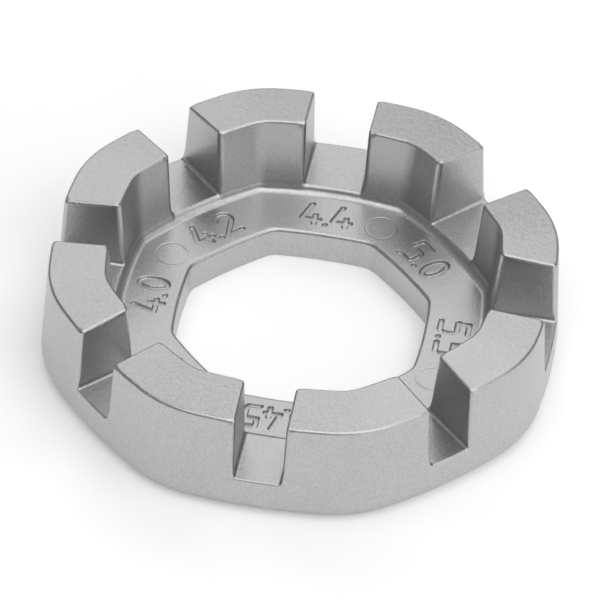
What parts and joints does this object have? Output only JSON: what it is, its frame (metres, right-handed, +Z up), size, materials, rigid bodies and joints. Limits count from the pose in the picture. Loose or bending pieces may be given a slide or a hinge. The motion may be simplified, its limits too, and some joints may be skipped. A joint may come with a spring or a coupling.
{
  "type": "spoke wrench",
  "caption": "Ring-shaped spoke wrench with open jaws of rising width round its rim, for turning the spoke nipples of a bicycle wheel.",
  "frame": {"origin": "centre of the underside, on the axis of the ring", "axes": "+Z up along the axis of the ring, out of the jaws; +Y towards jaw 6 (4.4 mm), -Y towards jaw 2 (3.45 mm), +X towards jaw 8 (5.5 mm)"},
  "size_m": [0.037, 0.037, 0.0087],
  "materials": {
    "cast_steel": "satin, as cast and bead blasted"
  },
  "bodies": {
    "root": {"base_ring": "cast_steel", "lug_1_2": "cast_steel", "lug_2_3": "cast_steel", "lug_3_4": "cast_steel", "lug_4_5": "cast_steel", "lug_5_6": "cast_steel", "lug_6_7": "cast_steel", "lug_7_8": "cast_steel", "lug_8_1": "cast_steel"}
  },
  "joints": []
}
